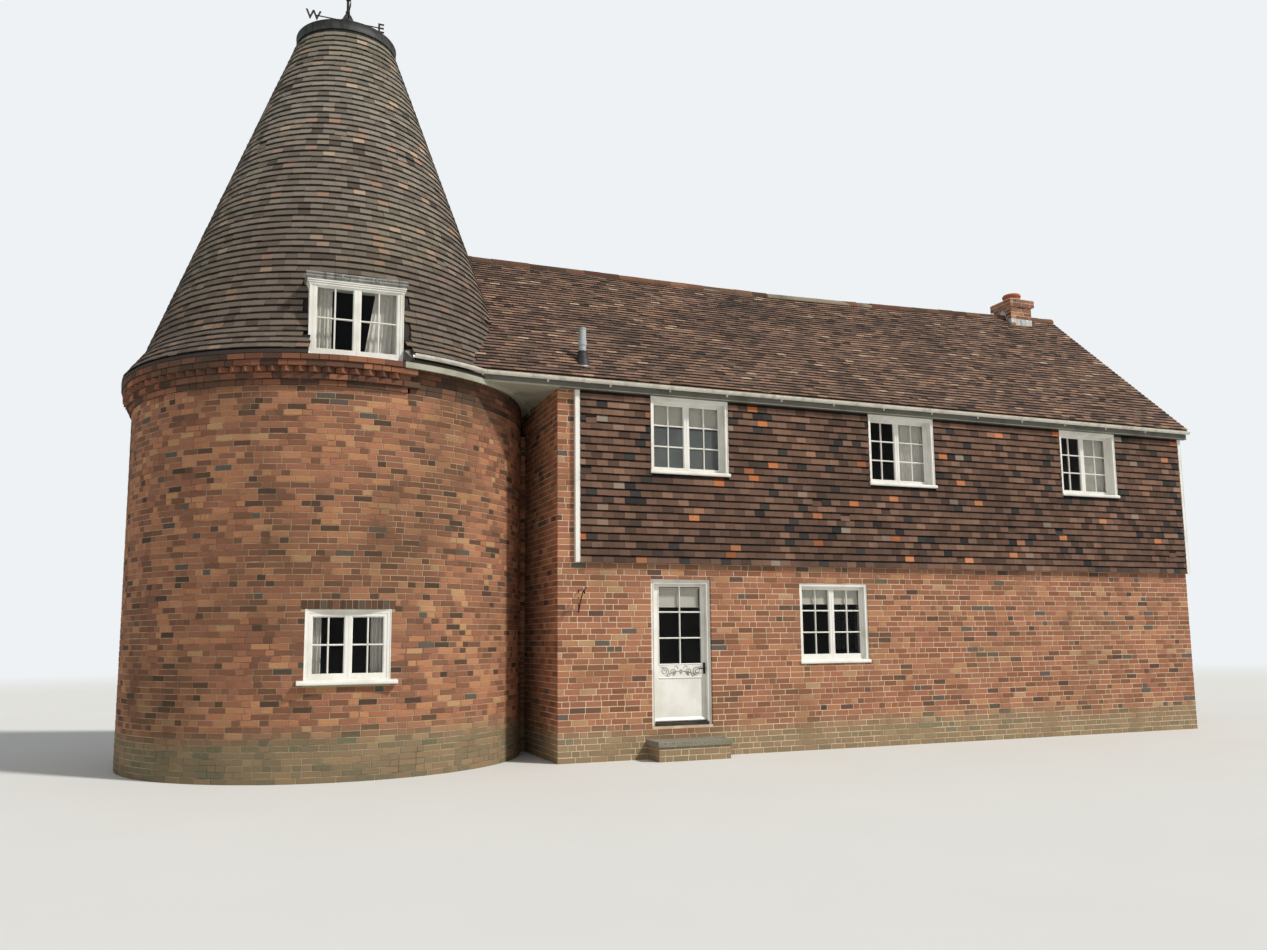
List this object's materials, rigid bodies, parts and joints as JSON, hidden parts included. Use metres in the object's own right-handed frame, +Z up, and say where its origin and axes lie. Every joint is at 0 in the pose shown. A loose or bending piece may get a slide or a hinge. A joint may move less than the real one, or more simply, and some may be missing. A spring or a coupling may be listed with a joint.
{
  "type": "oast house",
  "caption": "Brick and tile oast house: a round kiln with a tall conical tiled roof, joined to a two-storey stowage under a pitched roof, with an opening front door and a weather vane.",
  "frame": {"origin": "front left corner of the stowage's brickwork at the lowest ground line", "axes": "+X to the right along the front, +Y to the back, +Z up; the kiln stands on the -X side"},
  "size_m": [17.55, 6.82, 12.17],
  "materials": {
    "brickwork": "red stock brick with pale lime mortar",
    "roof_tile": "weathered clay peg tile, matte",
    "kiln_tile": "weathered clay peg tile with lichen, matte",
    "ridge_tile": "red clay ridge tile, matte",
    "hanging_tile": "hung clay tile, matte",
    "white_joinery": "white gloss paint",
    "eaves_paint": "cream paint",
    "gutter_plastic": "satin",
    "window_glass": "clear",
    "lead_sheet": "dull lead sheet",
    "curb_lead": "dark weathered lead",
    "vane_iron": "painted, weathered",
    "black_iron": "black",
    "hinge_steel": "satin",
    "pot_clay": "terracotta",
    "step_stone": "worn",
    "threshold_timber": "dark, worn",
    "vent_plastic": "grey",
    "floor_screed": "plain",
    "curtain_cloth": "plain woven",
    "blind_cloth": "plain woven"
  },
  "bodies": {
    "house": {"back_roof": "roof_tile", "back_tile_hanging": "hanging_tile", "back_wall": "brickwork", "back_window_frames": "white_joinery", "back_window_glass": "window_glass", "chimney_pot": "pot_clay", "chimney_stack": "brickwork", "corner_boards": "white_joinery", "curtains": "curtain_cloth", "door_frame": "white_joinery", "door_hinges": "hinge_steel", "doorstep": "step_stone", "doorway_foot": "brickwork", "doorway_lintel": "brickwork", "dormer_cheeks": "white_joinery", "dormer_roof": "lead_sheet", "dormer_window_frame": "white_joinery", "eaves_boards": "eaves_paint", "front_roof": "roof_tile", "front_tile_hanging": "hanging_tile", "front_wall_left": "brickwork", "front_wall_right": "brickwork", "front_wall_upper": "brickwork", "front_window_frames": "white_joinery", "front_window_glass": "window_glass", "gable_tile_hanging": "hanging_tile", "gutters": "gutter_plastic", "kiln_cap": "curb_lead", "kiln_cornice": "brickwork", "kiln_floors": "floor_screed", "kiln_roof": "kiln_tile", "kiln_wall_back": "brickwork", "kiln_wall_front": "brickwork", "kiln_wall_left": "brickwork", "kiln_wall_right": "brickwork", "kiln_window_frame": "white_joinery", "kiln_window_glass": "window_glass", "left_end_wall": "brickwork", "link_roof": "kiln_tile", "ridge_tiles": "ridge_tile", "right_end_wall": "brickwork", "roller_blinds": "blind_cloth", "roof_leadwork": "lead_sheet", "step_base": "brickwork", "stowage_floors": "floor_screed", "swept_eaves": "eaves_paint", "threshold": "threshold_timber", "vane_mast": "vane_iron", "vent_pipe": "vent_plastic", "wall_bracket": "black_iron"},
    "door": {"door_blind": "blind_cloth", "door_glass": "window_glass", "door_handle": "black_iron", "door_leaf": "white_joinery"},
    "vane": {"vane_pointer": "vane_iron"}
  },
  "joints": [
    {"name": "front_door", "type": "hinge", "parent": "house", "child": "door", "pos_m": [1.4215, 0.151, 1.47], "axis": [0, 0, 1], "range_deg": [0, 95]},
    {"name": "vane_turn", "type": "hinge", "parent": "house", "child": "vane", "pos_m": [-2.8, 2.2, 12.08], "axis": [0, 0, 1], "continuous": true}
  ]
}
